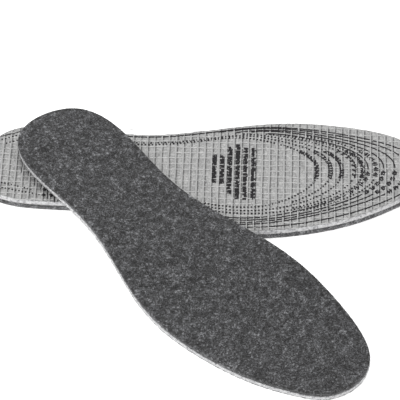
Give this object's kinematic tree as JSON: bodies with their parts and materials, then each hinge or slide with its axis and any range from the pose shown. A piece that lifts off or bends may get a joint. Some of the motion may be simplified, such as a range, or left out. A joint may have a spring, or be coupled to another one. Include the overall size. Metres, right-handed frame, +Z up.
{
  "type": "cushioned insole",
  "caption": "Flat cut-to-size insoles of felt over foam with a foil backing; the left lies foil side up and the right lies across its heel, felt side up.",
  "frame": {"origin": "middle of the pair's footprint, on the surface it lies on", "axes": "+X along the lower insole from heel to toe (1.5 degrees off), +Y across it towards its big toe's side, away from the upper insole's forefoot, +Z up"},
  "size_m": [0.297, 0.2282, 0.0159],
  "materials": {
    "foil": "satin",
    "scrim": "satin",
    "foam": "matte",
    "bond": "satin",
    "felt": "matte",
    "ink": "matte"
  },
  "bodies": {
    "left_rear": {"left_scrim_rear": "scrim", "left_foil_rear": "foil", "left_foam_rear": "foam", "left_bond_rear": "bond", "left_felt_rear": "felt"},
    "left_front": {"left_scrim_front": "scrim", "left_foil_front": "foil", "left_foam_front": "foam", "left_bond_front": "bond", "left_felt_front": "felt"},
    "right_rear": {"right_scrim_rear": "scrim", "right_foil_rear": "foil", "right_foam_rear": "foam", "right_bond_rear": "bond", "right_felt_rear": "felt"},
    "right_front": {"right_scrim_front": "scrim", "right_foil_front": "foil", "right_foam_front": "foam", "right_bond_front": "bond", "right_felt_front": "felt"}
  },
  "joints": [
    {"name": "flex_left", "type": "hinge", "parent": "left_rear", "child": "left_front", "pos_m": [0.0514, 0.06104, 0.0078], "axis": [-0.2732, -0.962, 0], "range_deg": [0, 50], "stiffness_Nm_per_rad": 0.05},
    {"name": "lift_right", "type": "slide", "parent": "left_rear", "child": "right_rear", "axis": [0, 0, 1], "range_m": [0, 0.1]},
    {"name": "flex_right", "type": "hinge", "parent": "right_rear", "child": "right_front", "pos_m": [0.02318, -0.04256, 0.01121], "axis": [-0.8661, -0.4949, -0.0704], "range_deg": [0, 50], "stiffness_Nm_per_rad": 0.05}
  ]
}
